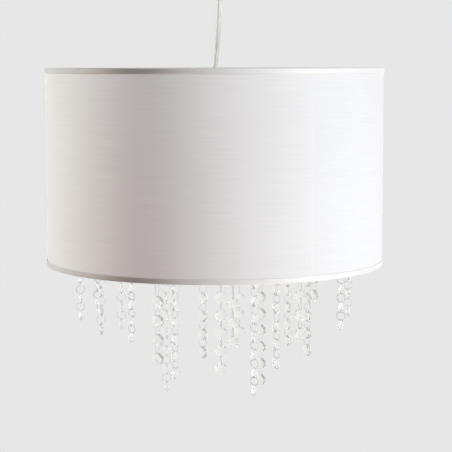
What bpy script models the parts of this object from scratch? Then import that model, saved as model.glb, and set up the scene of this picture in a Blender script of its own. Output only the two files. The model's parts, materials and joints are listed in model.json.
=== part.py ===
"""Drum pendant light: a fabric drum shade on a clear cord, with strands of linked
octagonal crystals and wire rings hanging from a wire frame below the shade.

Metres, +Z up. The origin is the centre of the bracket's top face, which lies on the
ceiling, and everything hangs below it. The front of the light faces -Y. Angles round
the light are counted from the front towards +X.
"""

import math

import bmesh
import bpy
from mathutils import Matrix, Vector

# Clearances shared by all pieces
SEAT_GAP = 0.0003  # between pieces that touch
TURN_GAP = 0.0005  # round a piece that turns or screws in another
CUT_OVERRUN = 0.001  # how far a cutter runs past what it cuts

# Ceiling bracket with its two ears
BRACKET_WIDTH = 0.018
BRACKET_THICKNESS = 0.002
BRACKET_EAR_HEIGHT = 0.016
CEILING_SLOT_WIDTH = 0.0045
CEILING_SLOT_LENGTH = 0.014
CEILING_SLOT_SPACING = 0.052

# Ceiling rose and the two screws through its side
ROSE_RADIUS = 0.045
ROSE_HEIGHT = 0.042
ROSE_WALL = 0.0016
ROSE_CORNER = 0.011
ROSE_SCREW_RADIUS = 0.0018
ROSE_SCREW_HEAD_RADIUS = 0.0034
ROSE_SCREW_HEAD_HEIGHT = 0.0022
ROSE_SCREW_DROP = 0.0095  # from the ceiling down to the screws
ROSE_SCREW_TIP = 0.003  # how far a screw stands out behind its ear

# Terminal block under the bracket
TERMINAL_WIDTH = 0.022
TERMINAL_DEPTH = 0.014
TERMINAL_HEIGHT = 0.013
ENTRY_RADIUS = 0.0018
ENTRY_DEPTH = 0.006
ENTRY_SPACING = 0.010

# Cord and its two insulated leads
CORD_RADIUS = 0.0029
CORD_ENTRY = 0.0014  # how far each end of the cord reaches into its grip
LEAD_RADIUS = 0.0009
LEAD_SPACING = 0.0026
LEAD_STRAIGHT = 0.003

# Route of the cord, chosen by hand: (to the right, down from the cord's top end)
CORD_ROUTE = (
    (0.0, 0.0),
    (0.0, 0.008),
    (0.0027, 0.0285),
    (0.0053, 0.0505),
    (0.0049, 0.0730),
    (0.0034, 0.0985),
    (0.0015, 0.1215),
    (0.0001, 0.1370),
    (0.0, 0.1450),
)

# Cord grips, alike at the rose and at the lampholder
GRIP_NUT_RADIUS = 0.0068
GRIP_NUT_LENGTH = 0.010
GRIP_NUT_TAPER = 0.0014
GRIP_MOUTH_RADIUS = 0.0036
GRIP_MOUTH_DEPTH = 0.0042
GRIP_STEM_RADIUS = 0.0046
GRIP_STEM_LENGTH = 0.0075
LOCKNUT_RADIUS = 0.0078
LOCKNUT_HEIGHT = 0.003

# Lampholder
CAP_TOP_RADIUS = 0.0105
CAP_RADIUS = 0.0212
CAP_HEIGHT = 0.022
CAP_WALL = 0.0018
CAP_SHOULDER = 0.012
SKIRT_RADIUS = 0.0195
SKIRT_WALL = 0.0022
SKIRT_HEIGHT = 0.038
COLLAR_HEIGHT = 0.004
FLANGE_RADIUS = 0.0235
FLANGE_HEIGHT = 0.003
LEDGE_WIDTH = 0.002
LEDGE_HEIGHT = 0.0012
SOCKET_BASE_HEIGHT = 0.007
SHELL_WALL = 0.0006
SHELL_HEIGHT = 0.021
SHELL_EYE_RADIUS = 0.0075
CONTACT_RADIUS = 0.0042
CONTACT_HEIGHT = 0.0015

# Bulb, with an E27 cap
BULB_CAP_RADIUS = 0.0132
BULB_CAP_LENGTH = 0.025
BULB_CAP_CONE = 0.006
BULB_TIP_RADIUS = 0.0048
BULB_NECK_RADIUS = 0.0126
BULB_RADIUS = 0.030
BULB_GLASS_LENGTH = 0.082
BULB_NECK_LENGTH = 0.012

# Fitter ring of the shade, and the threaded ring that clamps it
FITTER_WIDTH = 0.006
FITTER_THICKNESS = 0.0015
FITTER_DROP = 0.048  # from the shade's top edge down to the fitter ring
CLAMP_RING_WIDTH = 0.0034
CLAMP_RING_HEIGHT = 0.010

# Shade
SHADE_RADIUS = 0.200
SHADE_HEIGHT = 0.232
SHADE_WALL = 0.0006  # of the fabric, of the liner and of the rolled hems
HEM_HEIGHT = 0.0065
HEM_ROLL_RADIUS = 0.0015  # of the rounded fold at the edge
HEM_RETURN = 0.003  # height of the hem's inner leg
EDGE_WIRE_RADIUS = 0.0015
ARM_WIRE_RADIUS = 0.0015
ARM_SHELF = 0.012  # level stretch of an arm under the top ring
ARM_FOOT = 0.009  # level stretch of an arm beside the fitter ring
SPOKE_WIRE_RADIUS = 0.0012
SPOKE_OVERHANG = 0.0006  # of an arm or spoke past the middle of the wire that it's welded to
SPOKE_ANGLES_DEG = (80, -160, -40)

# Wire circles that carry the strands
CARRIER_WIRE_RADIUS = 0.0011
OUTER_CIRCLE_INSET = 0.035  # from the shade's outside to the outer circle
INNER_CIRCLE_RADIUS = 0.065  # leaves room for a hand with a bulb

# Links and crystals of the strands
LINK_LENGTH = 0.0097  # between the middles of a link's two flats
LINK_WIDTH = 0.0106
LINK_FLAT = 0.0048
LINK_WIRE_RADIUS = 0.0006
CRYSTAL_WIDTH = 0.014  # across its flats
CRYSTAL_THICKNESS = 0.006
CRYSTAL_TABLE_SHARE = 0.6  # of the width
CRYSTAL_HOLE_INSET = 0.00125  # from a crystal's edge to the middle of its hole

# Strands: the angle of each from the front, how far it is twisted round its own
# length, and its reach below its wire circle in units of the strands' pitch
OUTER_ANGLES_DEG = (-139.7, -117.3, -98.1, -51.3, -22.6, 6.9, 35.1, 61.6, 100.0, 130.5)
OUTER_TWISTS_DEG = (18, 6, 0, -14, 4, 0, -20, 3, -6, 9)
OUTER_REACH_SHARES = (5.80, 3.34, 3.66, 3.41, 4.63, 3.64, 3.45, 3.43, 3.47, 3.10)
MIDDLE_ANGLES_DEG = (-73.7, 37.9, 101.7, 127.4, 149.7, 164.1)
MIDDLE_TWISTS_DEG = (-7, 4, 30, -8, 5, 12)
MIDDLE_REACH_SHARES = (3.71, 5.41, 5.70, 5.54, 8.16, 5.34)
INNER_ANGLES_DEG = (-131.0, -61.6, -12.2, 6.4, 45.5)
INNER_TWISTS_DEG = (-4, -16, -34, -3, 10)
INNER_REACH_SHARES = (7.24, 7.27, 5.05, 5.99, 7.35)

# Facets round each kind of turned piece
SHADE_SIDES = 36
CIRCLE_SIDES = 30
ROSE_SIDES = 20
HOLDER_SIDES = 16
SMALL_SIDES = 10
NUT_SIDES = 6
WIRE_SIDES = 4
CORD_STEPS = 2  # stretches of the tube between two points of the route
SMOOTH_ANGLE = math.radians(35)

# Heights, from the ceiling down
rose_bottom = -SEAT_GAP - ROSE_HEIGHT
rose_exit = rose_bottom - SEAT_GAP - GRIP_NUT_LENGTH
cord_top = rose_exit + CORD_ENTRY
holder_entry = cord_top - CORD_ROUTE[-1][1] + CORD_ENTRY
cap_top = holder_entry - GRIP_NUT_LENGTH - SEAT_GAP
skirt_top = cap_top - CAP_HEIGHT - SEAT_GAP
skirt_bottom = skirt_top - SKIRT_HEIGHT
fitter_top = skirt_top - FLANGE_HEIGHT - SEAT_GAP
fitter_bottom = fitter_top - FITTER_THICKNESS
shade_top = fitter_top + FITTER_DROP
shade_bottom = shade_top - SHADE_HEIGHT

# Layers of the shade, from outside in
cover_radius = SHADE_RADIUS - SHADE_WALL - SEAT_GAP
liner_radius = cover_radius - SHADE_WALL - SEAT_GAP
edge_wire_circle = liner_radius - SHADE_WALL - SEAT_GAP - EDGE_WIRE_RADIUS
hem_return_radius = edge_wire_circle - EDGE_WIRE_RADIUS - SEAT_GAP
roll_start = SHADE_RADIUS - HEM_ROLL_RADIUS
wire_inset = SHADE_WALL + SEAT_GAP + EDGE_WIRE_RADIUS
top_wire_height = shade_top - wire_inset
bottom_wire_height = shade_bottom + wire_inset

# Arms under the top ring, spokes over the bottom ring, strand circles under the spokes
arm_half = ARM_WIRE_RADIUS * math.cos(math.pi / WIRE_SIDES)
spoke_half = SPOKE_WIRE_RADIUS * math.cos(math.pi / WIRE_SIDES)
arm_height = top_wire_height - EDGE_WIRE_RADIUS - SEAT_GAP - arm_half
spoke_height = bottom_wire_height + EDGE_WIRE_RADIUS + SEAT_GAP + spoke_half
circle_height = spoke_height - spoke_half - SEAT_GAP - CARRIER_WIRE_RADIUS
outer_circle = SHADE_RADIUS - OUTER_CIRCLE_INSET
middle_circle = (outer_circle + INNER_CIRCLE_RADIUS) / 2

# Strands
hole_distance = CRYSTAL_WIDTH / 2 - CRYSTAL_HOLE_INSET
strand_pitch = LINK_LENGTH + 2 * hole_distance
first_flat = CARRIER_WIRE_RADIUS + SEAT_GAP + LINK_WIRE_RADIUS / 2
shortest_reach = LINK_LENGTH - first_flat + hole_distance + CRYSTAL_WIDTH / 2


def make_material(name, colour, roughness, metallic=0.0, transmission=0.0):
    """A material in the piece's own colour and finish."""
    material = bpy.data.materials.new(name)
    material.use_nodes = True
    shader = material.node_tree.nodes["Principled BSDF"]
    shader.inputs["Base Color"].default_value = (*colour, 1.0)
    shader.inputs["Roughness"].default_value = roughness
    shader.inputs["Metallic"].default_value = metallic
    shader.inputs["Transmission Weight"].default_value = transmission
    return material


def finish(name, shape, materials, origin=(0, 0, 0), turn=0.0):
    """Makes an object of a shape drawn in place, with its origin where it moves about."""
    bmesh.ops.recalc_face_normals(shape, faces=shape.faces)
    place = Matrix.Translation(origin) @ Matrix.Rotation(turn, 4, "Z")
    bmesh.ops.transform(shape, matrix=place.inverted(), verts=shape.verts)
    mesh = bpy.data.meshes.new(name)
    shape.to_mesh(mesh)
    shape.free()
    mesh.shade_smooth()
    mesh.set_sharp_from_angle(angle=SMOOTH_ANGLE)
    for material in materials:
        mesh.materials.append(material)
    piece = bpy.data.objects.new(name, mesh)
    piece.location = origin
    piece.rotation_euler.z = turn
    bpy.context.scene.collection.objects.link(piece)
    return piece


def join_rings(shape, rings):
    """Faces between rings of vertices, of which a ring on the axis is one vertex."""
    for upper, lower in rings:
        for index, start in enumerate(upper):
            after = (index + 1) % len(upper)
            corners = list(dict.fromkeys((start, upper[after], lower[after], lower[index])))
            if len(corners) > 2:
                shape.faces.new(corners)


def turn_outline(shape, outline, sides, matrix=None, turn=0.0):
    """Turns (radius, height) points round Z: closed, or with both ends on the axis."""
    matrix = matrix or Matrix()
    rings = []
    for radius, height in outline:
        if radius == 0:
            rings.append([shape.verts.new(matrix @ Vector((0, 0, height)))] * sides)
            continue
        ring = []
        for side in range(sides):
            angle = turn + math.tau * side / sides
            point = Vector((radius * math.cos(angle), radius * math.sin(angle), height))
            ring.append(shape.verts.new(matrix @ point))
        rings.append(ring)
    pairs = list(zip(rings, rings[1:]))
    if outline[0][0] or outline[-1][0]:
        pairs.append((rings[-1], rings[0]))
    join_rings(shape, pairs)


def sweep(shape, path, normal, radius, sides, closed=False, turn=0.0):
    """A mitred wire along a path that lies in the plane square to the normal."""
    count = len(path)
    rings = []
    for index, point in enumerate(path):
        incoming = point - path[index - 1]
        outgoing = path[(index + 1) % count] - point
        if not closed and index == 0:
            incoming = outgoing
        if not closed and index == count - 1:
            outgoing = incoming
        outgoing = outgoing.normalized()
        tangent = (incoming.normalized() + outgoing).normalized()
        across = tangent.cross(normal).normalized() / tangent.dot(outgoing)
        ring = []
        for side in range(sides):
            angle = turn + math.tau * side / sides
            offset = radius * (math.cos(angle) * across + math.sin(angle) * normal)
            ring.append(shape.verts.new(point + offset))
        rings.append(ring)
    pairs = list(zip(rings, rings[1:]))
    if closed:
        pairs.append((rings[-1], rings[0]))
    else:
        shape.faces.new(rings[0])
        shape.faces.new(rings[-1])
    join_rings(shape, pairs)


def prism(shape, outline, low, high, matrix=None):
    """An outline of (x, y) points, filled from one height to another."""
    matrix = matrix or Matrix()
    rings = []
    for height in (low, high):
        rings.append([shape.verts.new(matrix @ Vector((x, y, height))) for x, y in outline])
        shape.faces.new(rings[-1])
    join_rings(shape, [rings])


def box_outline(width, depth):
    """The corners of a rectangle round the origin."""
    return [(x * width / 2, y * depth / 2) for x, y in ((1, 1), (-1, 1), (-1, -1), (1, -1))]


def combine(piece, other, operation):
    """Cuts another shape out of a piece or welds it on, and hides that shape."""
    other.hide_render = True
    other.display_type = "WIRE"
    modifier = piece.modifiers.new(operation.lower(), "BOOLEAN")
    modifier.operation = operation
    modifier.solver = "EXACT"
    modifier.object = other


def radial(radius, angle_deg, height):
    """The point at an angle from the front, on a circle round the axis."""
    angle = math.radians(angle_deg)
    return Vector((radius * math.sin(angle), -radius * math.cos(angle), height))


def bore(radius, sides):
    """The corner radius of a faceted hole in which a piece of that radius turns."""
    return (radius + TURN_GAP) / math.cos(math.pi / sides)


def wire_section(radius, height, wire_radius):
    """The outline of a wire ring, with a corner on top."""
    steps = [math.tau * step / WIRE_SIDES for step in range(WIRE_SIDES)]
    return [(radius + wire_radius * math.sin(step), height + wire_radius * math.cos(step)) for step in steps]


def shoulder(start, end, steps):
    """Points of a quarter ellipse that leaves its start level and reaches its end upright."""
    points = []
    for step in range(steps + 1):
        angle = math.pi / 2 * step / steps
        radius = start[0] + (end[0] - start[0]) * math.sin(angle)
        points.append((radius, end[1] + (start[1] - end[1]) * math.cos(angle)))
    return points


def smooth_route(points, steps):
    """Points read from a smooth curve through a route's own points."""
    line = [2 * points[0] - points[1], *points, 2 * points[-1] - points[-2]]
    found = []
    for index in range(1, len(line) - 2):
        before, start, end, after = line[index - 1 : index + 3]
        for step in range(steps):
            share = step / steps
            bend = 2 * before - 5 * start + 4 * end - after
            twist = 3 * (start - end) + after - before
            found.append(start + ((end - before) * share + bend * share**2 + twist * share**3) / 2)
    found.append(points[-1])
    return found


def add_leads(name, top, bottom, top_spacing, bottom_spacing, material, origin):
    """The cord's two leads, spread between a grip and a pair of entries."""
    for side, word in ((-1, "left"), (1, "right")):
        shape = bmesh.new()
        path = [
            Vector((side * top_spacing / 2, 0, top)),
            Vector((side * top_spacing / 2, 0, top - LEAD_STRAIGHT)),
            Vector((side * bottom_spacing / 2, 0, bottom + LEAD_STRAIGHT)),
            Vector((side * bottom_spacing / 2, 0, bottom)),
        ]
        sweep(shape, path, Vector((0, 1, 0)), LEAD_RADIUS, NUT_SIDES)
        finish(f"{name}_{word}", shape, [material], origin)


def add_entries(name, low, high):
    """The cutter for a pair of lead entries."""
    shape = bmesh.new()
    for side in (-1, 1):
        middle = Matrix.Translation((side * ENTRY_SPACING / 2, 0, 0))
        outline = [(0, low), (ENTRY_RADIUS, low), (ENTRY_RADIUS, high), (0, high)]
        turn_outline(shape, outline, NUT_SIDES, middle)
    return finish(name, shape, [])


def add_bracket(material):
    """A steel strip with two ears turned down, slotted for the ceiling screws."""
    rose_clear = (ROSE_RADIUS - ROSE_WALL) * math.cos(math.pi / ROSE_SIDES) - SEAT_GAP
    end = math.sqrt(rose_clear**2 - (BRACKET_WIDTH / 2) ** 2)
    inner = end - BRACKET_THICKNESS
    side = [(end, 0), (end, -BRACKET_EAR_HEIGHT)]
    side += [(inner, -BRACKET_EAR_HEIGHT), (inner, -BRACKET_THICKNESS)]
    outline = side + [(-x, height) for x, height in reversed(side)]
    upright = Matrix.Rotation(math.pi / 2, 4, "X")
    shape = bmesh.new()
    prism(shape, outline, -BRACKET_WIDTH / 2, BRACKET_WIDTH / 2, upright)
    bracket = finish("ceiling_bracket", shape, [material])

    cutter = bmesh.new()
    for across in (-1, 1):
        outline = []
        for step in range(-NUT_SIDES // 2, NUT_SIDES // 2 + 1):
            angle = math.pi * step / NUT_SIDES
            reach = (CEILING_SLOT_LENGTH - CEILING_SLOT_WIDTH) / 2 + CEILING_SLOT_WIDTH / 2 * math.cos(angle)
            outline.append((reach, CEILING_SLOT_WIDTH / 2 * math.sin(angle)))
        outline += [(-x, -y) for x, y in outline]
        middle = Matrix.Translation((across * CEILING_SLOT_SPACING / 2, 0, 0))
        prism(cutter, outline, -BRACKET_THICKNESS - CUT_OVERRUN, CUT_OVERRUN, middle)
        turn = Matrix.Translation((0, 0, -ROSE_SCREW_DROP)) @ Matrix.Rotation(across * math.pi / 2, 4, "Y")
        hole = ROSE_SCREW_RADIUS + SEAT_GAP
        low = inner - CUT_OVERRUN
        high = end + CUT_OVERRUN
        turn_outline(cutter, [(0, low), (hole, low), (hole, high), (0, high)], SMALL_SIDES, turn)
    combine(bracket, finish("bracket_holes", cutter, []), "DIFFERENCE")
    return inner


def add_rose(material, screw_material, ear_inner):
    """The rose cup, held to the bracket's ears by two screws."""
    inner_radius = ROSE_RADIUS - ROSE_WALL
    floor = rose_bottom + ROSE_WALL
    hole = GRIP_STEM_RADIUS + SEAT_GAP
    corner = rose_bottom + ROSE_CORNER
    outside = shoulder((ROSE_RADIUS - ROSE_CORNER, rose_bottom), (ROSE_RADIUS, corner), 2)
    inside = shoulder((ROSE_RADIUS - ROSE_CORNER, floor), (inner_radius, corner), 2)
    outline = [(hole, rose_bottom), *outside, (ROSE_RADIUS, -SEAT_GAP), (inner_radius, -SEAT_GAP)]
    outline += [*reversed(inside), (hole, floor)]
    shape = bmesh.new()
    turn_outline(shape, outline, ROSE_SIDES, turn=math.pi / ROSE_SIDES)
    cup = finish("rose_cup", shape, [material])

    seat = ROSE_RADIUS * math.cos(math.pi / ROSE_SIDES)
    cutter = bmesh.new()
    for across, word in ((-1, "left"), (1, "right")):
        turn = Matrix.Translation((0, 0, -ROSE_SCREW_DROP)) @ Matrix.Rotation(across * math.pi / 2, 4, "Y")
        hole = ROSE_SCREW_RADIUS + SEAT_GAP
        low = seat - ROSE_WALL - CUT_OVERRUN
        high = ROSE_RADIUS + CUT_OVERRUN
        turn_outline(cutter, [(0, low), (hole, low), (hole, high), (0, high)], SMALL_SIDES, turn)
        head = seat + SEAT_GAP
        outline = [
            (0, ear_inner - ROSE_SCREW_TIP),
            (ROSE_SCREW_RADIUS, ear_inner - ROSE_SCREW_TIP),
            (ROSE_SCREW_RADIUS, head),
            (ROSE_SCREW_HEAD_RADIUS, head),
            (ROSE_SCREW_HEAD_RADIUS, head + ROSE_SCREW_HEAD_HEIGHT / 2),
            (ROSE_SCREW_RADIUS, head + ROSE_SCREW_HEAD_HEIGHT),
            (0, head + ROSE_SCREW_HEAD_HEIGHT),
        ]
        screw = bmesh.new()
        turn_outline(screw, outline, SMALL_SIDES, turn)
        finish("rose_screw_" + word, screw, [screw_material])
    combine(cup, finish("rose_holes", cutter, []), "DIFFERENCE")


def add_grip(name, mouth, upwards, material, nut_material, wall):
    """A cord grip with its stem through a wall, and the locknut behind that wall."""
    turn = Matrix.Translation((0, 0, mouth)) @ Matrix.Rotation(0 if upwards else math.pi, 4, "X")
    stem_end = GRIP_NUT_LENGTH + GRIP_STEM_LENGTH
    outline = [
        (0, GRIP_MOUTH_DEPTH),
        (GRIP_MOUTH_RADIUS, GRIP_MOUTH_DEPTH),
        (GRIP_MOUTH_RADIUS, 0),
        (GRIP_NUT_RADIUS - GRIP_NUT_TAPER, 0),
        (GRIP_NUT_RADIUS, GRIP_NUT_TAPER),
        (GRIP_NUT_RADIUS, GRIP_NUT_LENGTH),
        (GRIP_STEM_RADIUS, GRIP_NUT_LENGTH),
        (GRIP_STEM_RADIUS, stem_end),
        (0, stem_end),
    ]
    shape = bmesh.new()
    turn_outline(shape, outline, SMALL_SIDES, turn)
    finish(name + "_cord_grip", shape, [material], (0, 0, mouth))

    low = GRIP_NUT_LENGTH + wall + 2 * SEAT_GAP
    high = low + LOCKNUT_HEIGHT
    hole = bore(GRIP_STEM_RADIUS, NUT_SIDES)
    shape = bmesh.new()
    outline = [(hole, low), (LOCKNUT_RADIUS, low), (LOCKNUT_RADIUS, high), (hole, high)]
    turn_outline(shape, outline, NUT_SIDES, turn)
    finish(name + "_locknut", shape, [nut_material], (0, 0, mouth))


def add_cord(material):
    """The free length of cord between the two grips, with a slight bow."""
    points = [Vector((across, 0, CORD_ENTRY - down)) for across, down in CORD_ROUTE]
    curve = bpy.data.curves.new("cord", "CURVE")
    curve.dimensions = "3D"
    curve.bevel_depth = CORD_RADIUS
    curve.bevel_resolution = 2
    curve.use_fill_caps = True
    line = curve.splines.new("POLY")
    route = smooth_route(points, CORD_STEPS)
    line.points.add(len(route) - 1)
    for point, position in zip(line.points, route):
        point.co = (*position, 1)
    curve.materials.append(material)
    cord = bpy.data.objects.new("cord", curve)
    cord.location = (0, 0, rose_exit)
    bpy.context.scene.collection.objects.link(cord)


def add_holder(plastic, ceramic, brass):
    """The lampholder: cap, skirt, socket base, screw shell and centre contact."""
    pivot = (0, 0, holder_entry)
    hole = GRIP_STEM_RADIUS + SEAT_GAP
    ceiling = cap_top - CAP_WALL
    cap_inner = CAP_RADIUS - CAP_WALL
    skirt_inner = SKIRT_RADIUS - SKIRT_WALL
    outside = shoulder((CAP_TOP_RADIUS, cap_top), (CAP_RADIUS, cap_top - CAP_SHOULDER), 2)
    inside = shoulder((CAP_TOP_RADIUS - CAP_WALL / 2, ceiling), (cap_inner, ceiling - CAP_SHOULDER), 2)
    bottom = cap_top - CAP_HEIGHT
    outline = [(hole, cap_top), *outside, (CAP_RADIUS, bottom)]
    outline += [(cap_inner, bottom), *reversed(inside), (hole, ceiling)]
    shape = bmesh.new()
    turn_outline(shape, outline, HOLDER_SIDES)
    finish("holder_cap", shape, [plastic], pivot)

    collar_radius = cap_inner - SEAT_GAP
    collar_top = skirt_top + COLLAR_HEIGHT
    base_bottom = collar_top - SOCKET_BASE_HEIGHT
    ledge_top = base_bottom - SEAT_GAP
    ledge_bottom = ledge_top - LEDGE_HEIGHT
    outline = [
        (skirt_inner, collar_top),
        (collar_radius, collar_top),
        (collar_radius, skirt_top),
        (FLANGE_RADIUS, skirt_top),
        (FLANGE_RADIUS, skirt_top - FLANGE_HEIGHT),
        (SKIRT_RADIUS, skirt_top - FLANGE_HEIGHT),
        (SKIRT_RADIUS, skirt_bottom),
        (skirt_inner, skirt_bottom),
        (skirt_inner, ledge_bottom),
        (skirt_inner - LEDGE_WIDTH, ledge_bottom),
        (skirt_inner - LEDGE_WIDTH, ledge_top),
        (skirt_inner, ledge_top),
    ]
    shape = bmesh.new()
    turn_outline(shape, outline, HOLDER_SIDES)
    finish("holder_skirt", shape, [plastic], pivot)

    base_radius = skirt_inner - SEAT_GAP
    shape = bmesh.new()
    outline = [(0, collar_top), (base_radius, collar_top), (base_radius, base_bottom), (0, base_bottom)]
    turn_outline(shape, outline, HOLDER_SIDES)
    base = finish("socket_base", shape, [ceramic], pivot)
    entries = add_entries("base_entries", collar_top - ENTRY_DEPTH / 2, collar_top + CUT_OVERRUN)
    combine(base, entries, "DIFFERENCE")

    shell_top = base_bottom - SEAT_GAP
    shell_bottom = shell_top - SHELL_HEIGHT
    shell_inner = bore(BULB_CAP_RADIUS, HOLDER_SIDES)
    shell_outer = shell_inner + SHELL_WALL
    outline = [
        (SHELL_EYE_RADIUS, shell_top),
        (shell_outer, shell_top),
        (shell_outer, shell_bottom),
        (shell_inner, shell_bottom),
        (shell_inner, shell_top - SHELL_WALL),
        (SHELL_EYE_RADIUS, shell_top - SHELL_WALL),
    ]
    shape = bmesh.new()
    turn_outline(shape, outline, HOLDER_SIDES)
    finish("socket_shell", shape, [brass], pivot)

    contact_bottom = shell_top - CONTACT_HEIGHT
    shape = bmesh.new()
    outline = [(0, shell_top), (CONTACT_RADIUS, shell_top)]
    outline += [(CONTACT_RADIUS, contact_bottom), (0, contact_bottom)]
    turn_outline(shape, outline, SMALL_SIDES)
    finish("socket_contact", shape, [brass], pivot)
    return collar_top, contact_bottom


def add_bulb(top, glass, metal):
    """The bulb's screw cap, and its glass with the neck seated against the cap."""
    cone_top = top - BULB_CAP_CONE
    cap_bottom = top - BULB_CAP_LENGTH
    tip = BULB_TIP_RADIUS
    outline = [(0, top), (tip, top), (BULB_CAP_RADIUS, cone_top)]
    outline += [(BULB_CAP_RADIUS, cap_bottom), (0, cap_bottom)]
    shape = bmesh.new()
    turn_outline(shape, outline, HOLDER_SIDES)
    finish("bulb_cap", shape, [metal])

    neck_top = cap_bottom - SEAT_GAP
    neck_bottom = neck_top - BULB_NECK_LENGTH
    glass_bottom = neck_top - BULB_GLASS_LENGTH
    middle = glass_bottom + BULB_RADIUS
    outline = [(0, neck_top), (BULB_NECK_RADIUS, neck_top)]
    for step in range(4):
        share = step / 4
        ease = share * share * (3 - 2 * share)
        radius = BULB_NECK_RADIUS + (BULB_RADIUS - BULB_NECK_RADIUS) * ease
        outline.append((radius, neck_bottom + (middle - neck_bottom) * share))
    for step in range(4):
        angle = math.pi / 2 * step / 4
        outline.append((BULB_RADIUS * math.cos(angle), middle - BULB_RADIUS * math.sin(angle)))
    outline.append((0, glass_bottom))
    shape = bmesh.new()
    turn_outline(shape, outline, HOLDER_SIDES)
    finish("bulb_glass", shape, [glass])


def add_clamp_ring(material):
    """The threaded ring that holds the shade's fitter ring up against the flange."""
    top = fitter_bottom - SEAT_GAP
    inner = bore(SKIRT_RADIUS, HOLDER_SIDES)
    outer = inner + CLAMP_RING_WIDTH
    bottom = top - CLAMP_RING_HEIGHT
    outline = [(inner, top), (outer, top), (outer, bottom), (inner, bottom)]
    shape = bmesh.new()
    turn_outline(shape, outline, HOLDER_SIDES)
    finish("clamp_ring", shape, [material])


def add_wire_ring(name, radius, height, wire_radius, sides, material):
    """A level ring of wire round the axis."""
    shape = bmesh.new()
    turn_outline(shape, wire_section(radius, height, wire_radius), sides)
    finish(name, shape, [material])


def add_spider(material):
    """The fitter ring with three arms welded to it, which reach under the shade's top ring."""
    inner = bore(SKIRT_RADIUS, HOLDER_SIDES)
    outer = inner + FITTER_WIDTH
    shape = bmesh.new()
    outline = [(inner, fitter_top), (outer, fitter_top), (outer, fitter_bottom), (inner, fitter_bottom)]
    turn_outline(shape, outline, HOLDER_SIDES)
    spider = finish("shade_spider", shape, [material])

    arms = bmesh.new()
    start = edge_wire_circle + SPOKE_OVERHANG
    foot = FLANGE_RADIUS + 2 * TURN_GAP
    middle = (fitter_top + fitter_bottom) / 2
    for angle in SPOKE_ANGLES_DEG:
        path = [
            radial(start, angle, arm_height),
            radial(start - ARM_SHELF, angle, arm_height),
            radial(foot + ARM_FOOT, angle, middle),
            radial(foot, angle, middle),
        ]
        across = radial(1, angle + 90, 0)
        sweep(arms, path, across, ARM_WIRE_RADIUS, WIRE_SIDES, turn=math.pi / WIRE_SIDES)
    combine(spider, finish("spider_arms", arms, [material]), "UNION")


def add_shade(fabric, lining, hem_fabric):
    """The fabric cover, the liner behind it and a rolled hem at each edge."""
    inset = HEM_ROLL_RADIUS + SEAT_GAP
    top = shade_top - inset
    bottom = shade_bottom + inset
    layers = (("shade_cover", cover_radius, fabric), ("shade_liner", liner_radius, lining))
    for name, radius, material in layers:
        inner = radius - SHADE_WALL
        shape = bmesh.new()
        turn_outline(shape, [(radius, top), (radius, bottom), (inner, bottom), (inner, top)], SHADE_SIDES)
        finish(name, shape, [material])

    behind = SHADE_RADIUS - SHADE_WALL
    inside = hem_return_radius - SHADE_WALL
    for name, edge, inwards in (("shade_hem_top", shade_top, -1), ("shade_hem_bottom", shade_bottom, 1)):
        face = edge + inwards * SHADE_WALL
        roll = edge + inwards * HEM_ROLL_RADIUS
        outline = [(inside, edge + inwards * HEM_RETURN), (inside, edge)]
        outline += shoulder((roll_start, edge), (SHADE_RADIUS, roll), 2)
        outline += [(SHADE_RADIUS, edge + inwards * HEM_HEIGHT), (behind, edge + inwards * HEM_HEIGHT)]
        outline += reversed(shoulder((roll_start, face), (behind, roll), 2))
        outline += [(hem_return_radius, face), (hem_return_radius, edge + inwards * HEM_RETURN)]
        shape = bmesh.new()
        turn_outline(shape, outline, SHADE_SIDES)
        finish(name, shape, [hem_fabric])


def add_strand_frame(material):
    """The shade's two rings, the spokes over the lower one and the strands' circles under them."""
    edges = (("shade_ring_top", top_wire_height), ("strand_frame", bottom_wire_height))
    for name, height in edges:
        add_wire_ring(name, edge_wire_circle, height, EDGE_WIRE_RADIUS, SHADE_SIDES, material)
    circles = (("outer", outer_circle), ("middle", middle_circle), ("inner", INNER_CIRCLE_RADIUS))
    for word, radius in circles:
        name = "strand_circle_" + word
        add_wire_ring(name, radius, circle_height, CARRIER_WIRE_RADIUS, CIRCLE_SIDES, material)

    for number, angle in enumerate(SPOKE_ANGLES_DEG, 1):
        shape = bmesh.new()
        outer = radial(edge_wire_circle + SPOKE_OVERHANG, angle, spoke_height)
        inner = radial(INNER_CIRCLE_RADIUS - SPOKE_OVERHANG, angle, spoke_height)
        across = radial(1, angle + 90, 0)
        sweep(shape, [outer, inner], across, SPOKE_WIRE_RADIUS, WIRE_SIDES, turn=math.pi / WIRE_SIDES)
        finish(f"strand_spoke_{number}", shape, [material])


def add_crystal(shape, middle, matrix):
    """An octagonal crystal with a square table on each side."""
    half = CRYSTAL_WIDTH / 2
    table = half * CRYSTAL_TABLE_SHARE
    corner = half * math.tan(math.pi / 8)
    right = [(corner, half), (half, corner), (half, -corner), (corner, -half)]
    girdle = [Vector((x, 0, z)) for x, z in right + [(-x, -z) for x, z in right]]
    rim = [shape.verts.new(matrix @ point + middle) for point in girdle]
    for side in (-1, 1):
        depth = side * CRYSTAL_THICKNESS / 2
        corners = [Vector((x * table, depth, z * table)) for x, z in ((1, 1), (1, -1), (-1, -1), (-1, 1))]
        flat = [shape.verts.new(matrix @ point + middle) for point in corners]
        shape.faces.new(flat)
        for index, start in enumerate(flat):
            first = rim[2 * index]
            second = rim[2 * index + 1]
            shape.faces.new((start, first, second))
            shape.faces.new((start, second, rim[(2 * index + 2) % 8], flat[(index + 1) % 4]))


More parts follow.
